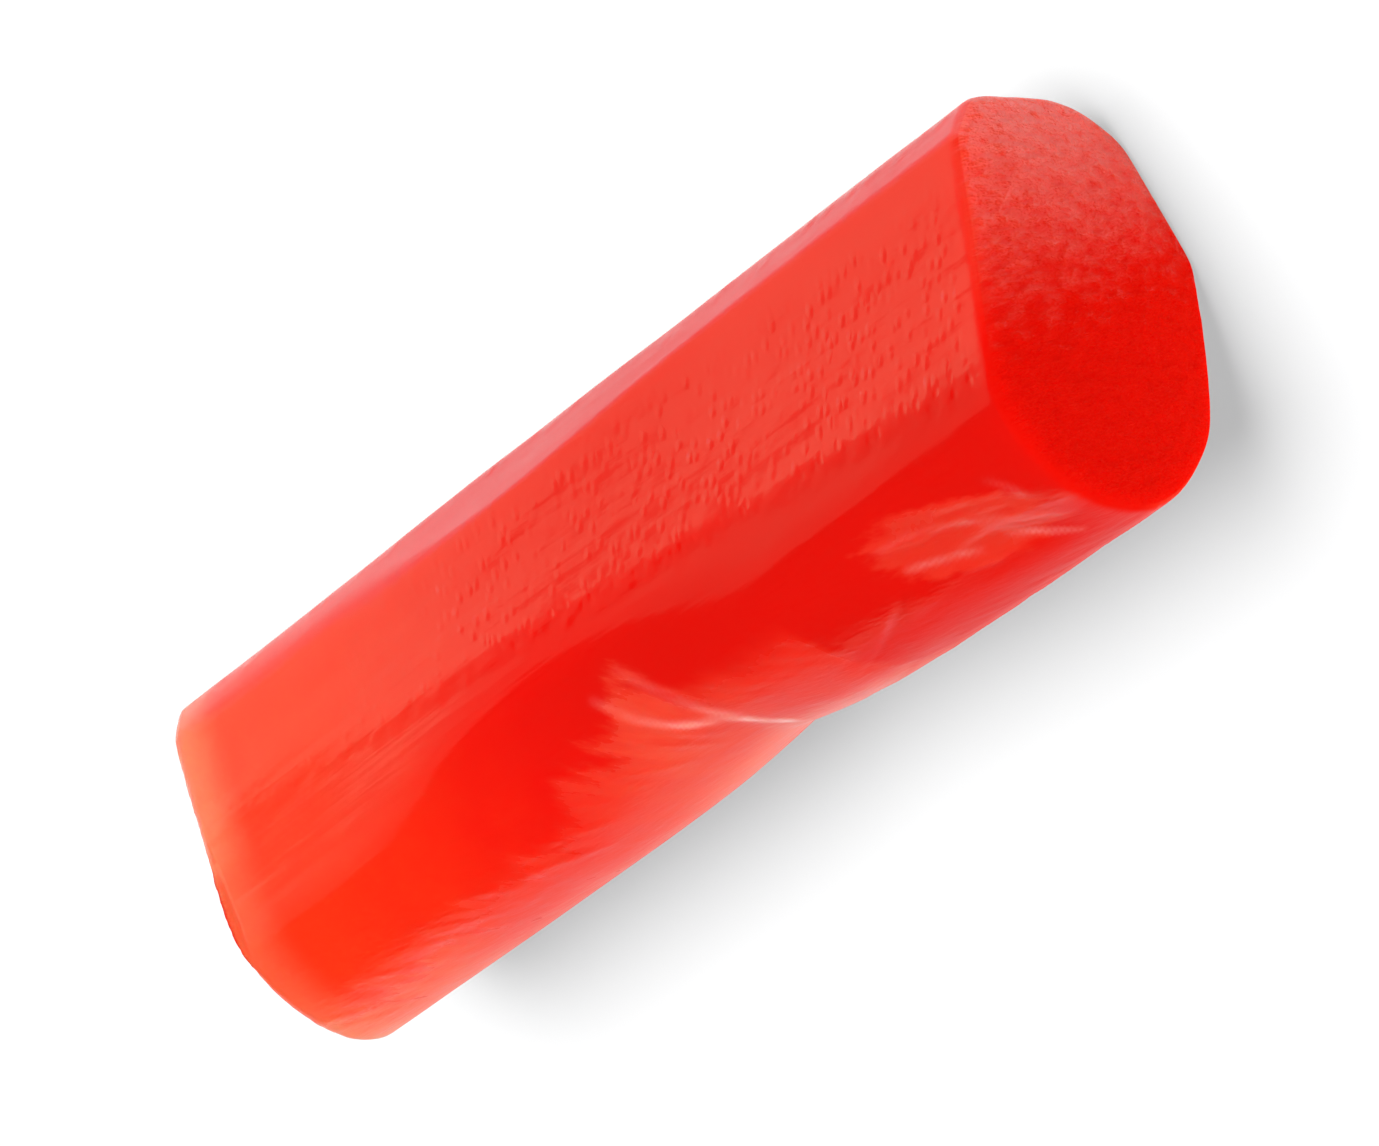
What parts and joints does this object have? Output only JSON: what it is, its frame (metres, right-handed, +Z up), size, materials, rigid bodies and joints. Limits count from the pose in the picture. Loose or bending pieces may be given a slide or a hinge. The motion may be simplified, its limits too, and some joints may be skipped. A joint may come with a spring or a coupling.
{
  "type": "licorice bite",
  "caption": "Short, slightly flattened piece of soft red licorice rope with a straight cut at one end and a slanted, domed cut at the other.",
  "frame": {"origin": "centre of the bite's box in plan, on the surface it rests on", "axes": "+X along the rope toward the slanted cut, +Y toward the narrow pressed band, +Z up"},
  "size_m": [0.0434, 0.0154, 0.0141],
  "materials": {
    "licorice_red": "glossy translucent red licorice, lightly pebbled skin, dull grained cuts"
  },
  "bodies": {
    "root": {"licorice_bite": "licorice_red"}
  },
  "joints": []
}
